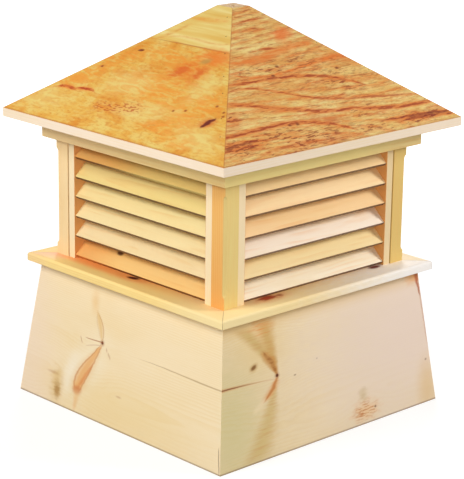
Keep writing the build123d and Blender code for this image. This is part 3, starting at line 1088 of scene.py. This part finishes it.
def nail_steel():
    """Dull steel, browned by the weather."""
    steel = Paint("nail steel")
    place = steel.node("ShaderNodeTexCoord").outputs["Object"]
    mottle = steel.field("ShaderNodeTexNoise", None, {"Vector": place, "Scale": 900.0})
    stops = ((0.35, tone(66, 44, 30)), (0.65, tone(104, 76, 54)))
    colour = steel.field("ShaderNodeValToRGB", {"stops": stops}, {0: mottle})
    steel.link(colour, steel.shader, "Base Color")
    steel.link(mottle * 0.3 + 0.4, steel.shader, "Roughness")
    steel.shader.inputs["Metallic"].default_value = 0.4
    return steel.material


def drive_nails():
    """Each panel is nailed along the hip that it shares with the next side round."""
    mesh = bpy.data.meshes.new("nail rows")
    places, facings = [], []
    for number, side in enumerate(SIDES):
        turn = Matrix.Rotation(radians(90) * number, 3, "Z")
        facing = turn @ Vector((0, -sin(ROOF_SLOPE), cos(ROOF_SLOPE)))
        for rise in NAIL_ROW_ENDS:
            level = rise * sin(ROOF_SLOPE) + EAVE_TOP
            half = EAVE_HALF - rise * cos(ROOF_SLOPE)
            place = turn @ Vector((half - NAIL_INSETS[side], -half, level))
            places.append(place * MM)
            facings.append(facing)
    mesh.from_pydata(places, [(i, i + 1) for i in range(0, len(places), 2)], [])
    attribute = mesh.attributes.new("facing", "FLOAT_VECTOR", "POINT")
    for item, facing in zip(attribute.data, facings):
        item.vector = facing
    nails = grow("roof_nails", mesh, nail_rows(), {"Steel": nail_steel()})
    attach(nails, "root")


# The camera, the light and the floor

def add_camera():
    turn, rise, roll = CAMERA_AZIMUTH, CAMERA_ELEVATION, CAMERA_ROLL
    back = Vector((sin(turn) * cos(rise), -cos(turn) * cos(rise), sin(rise)))
    level = Vector((cos(turn), sin(turn), 0))
    upright = back.cross(level)
    right = level * cos(roll) + upright * sin(roll)
    up = upright * cos(roll) - level * sin(roll)
    data = bpy.data.cameras.new("camera")
    data.sensor_width = SENSOR_WIDTH
    data.lens = FOCAL_PIXELS / PICTURE_HEIGHT * data.sensor_width
    camera = bpy.data.objects.new("camera", data)
    place = Matrix((right, up, back)).transposed().to_4x4()
    place.translation = CAMERA_PLACE
    camera.matrix_world = place
    bpy.context.scene.collection.objects.link(camera)
    bpy.context.scene.camera = camera


def add_lamp(name, place, aim, size, power):
    data = bpy.data.lights.new(name, "AREA")
    data.shape = "SQUARE"
    data.size = size
    data.energy = power
    lamp = bpy.data.objects.new(name, data)
    lamp.location = place
    lamp.rotation_euler = (Vector(aim) - Vector(place)).to_track_quat("-Z", "Y").to_euler()
    bpy.context.scene.collection.objects.link(lamp)


def add_room():
    """The room is an even, soft white. Only the camera and mirrors see it at full strength."""
    world = bpy.data.worlds.new("room")
    bpy.context.scene.world = world
    world.use_nodes = True
    room = Graph(world.node_tree)
    rays = room.node("ShaderNodeLightPath").outputs
    seen = Field(room, rays["Is Camera Ray"]).at_least(Field(room, rays["Is Glossy Ray"]))
    seen = seen.at_least(Field(room, rays["Is Transmission Ray"]))
    background = room.tree.nodes["Background"]
    background.inputs["Color"].default_value = (1, 1, 1, 1)
    room.link(seen * (1 - ROOM_LIGHT) + ROOM_LIGHT, background, "Strength")


def floor_paint():
    """A pale floor that takes the shadow. The camera sees it fade to white past the shadow."""
    paint = Paint("floor")
    given = paint.shader.inputs
    given["Base Color"].default_value = tone(170, 170, 170)
    given["Roughness"].default_value = 0.9
    given["Emission Strength"].default_value = 1.0
    seen = Field(paint, paint.node("ShaderNodeLightPath").outputs["Is Camera Ray"])
    place = paint.node("ShaderNodeTexCoord").outputs["Object"]
    reach = paint.field("ShaderNodeVectorMath", {"operation": "LENGTH"}, {0: place}, output=1)
    inputs = {"Value": reach, "From Min": SHADOW_REACH, "From Max": WHITE_REACH, "To Min": SHADOW_LIFT}
    far = paint.field("ShaderNodeMapRange", {"interpolation_type": "SMOOTHSTEP"}, inputs)
    inputs = {0: seen * far, 6: (0, 0, 0, 1), 7: (1, 1, 1, 1)}
    glow = paint.field("ShaderNodeMix", {"data_type": "RGBA"}, inputs, output=2)
    paint.link(glow, paint.shader, "Emission Color")
    return paint.material


def add_floor():
    mesh = bpy.data.meshes.new("floor")
    corners = [(x * FLOOR_HALF, y * FLOOR_HALF, 0) for x, y in ((-1, -1), (1, -1), (1, 1), (-1, 1))]
    mesh.from_pydata(corners, [], [(0, 1, 2, 3)])
    mesh.materials.append(floor_paint())
    floor = bpy.data.objects.new("floor", mesh)
    bpy.context.scene.collection.objects.link(floor)


bpy.context.scene.view_settings.view_transform = "Standard"
add_camera()
add_room()
add_floor()
for name, (place, aim, size, power) in LAMPS.items():
    add_lamp(name, place, aim, size, power)
dress_skirt()
dress_trim()
dress_posts()
dress_stiles()
dress_roof()
dress_block()
hang_slats()
drive_nails()
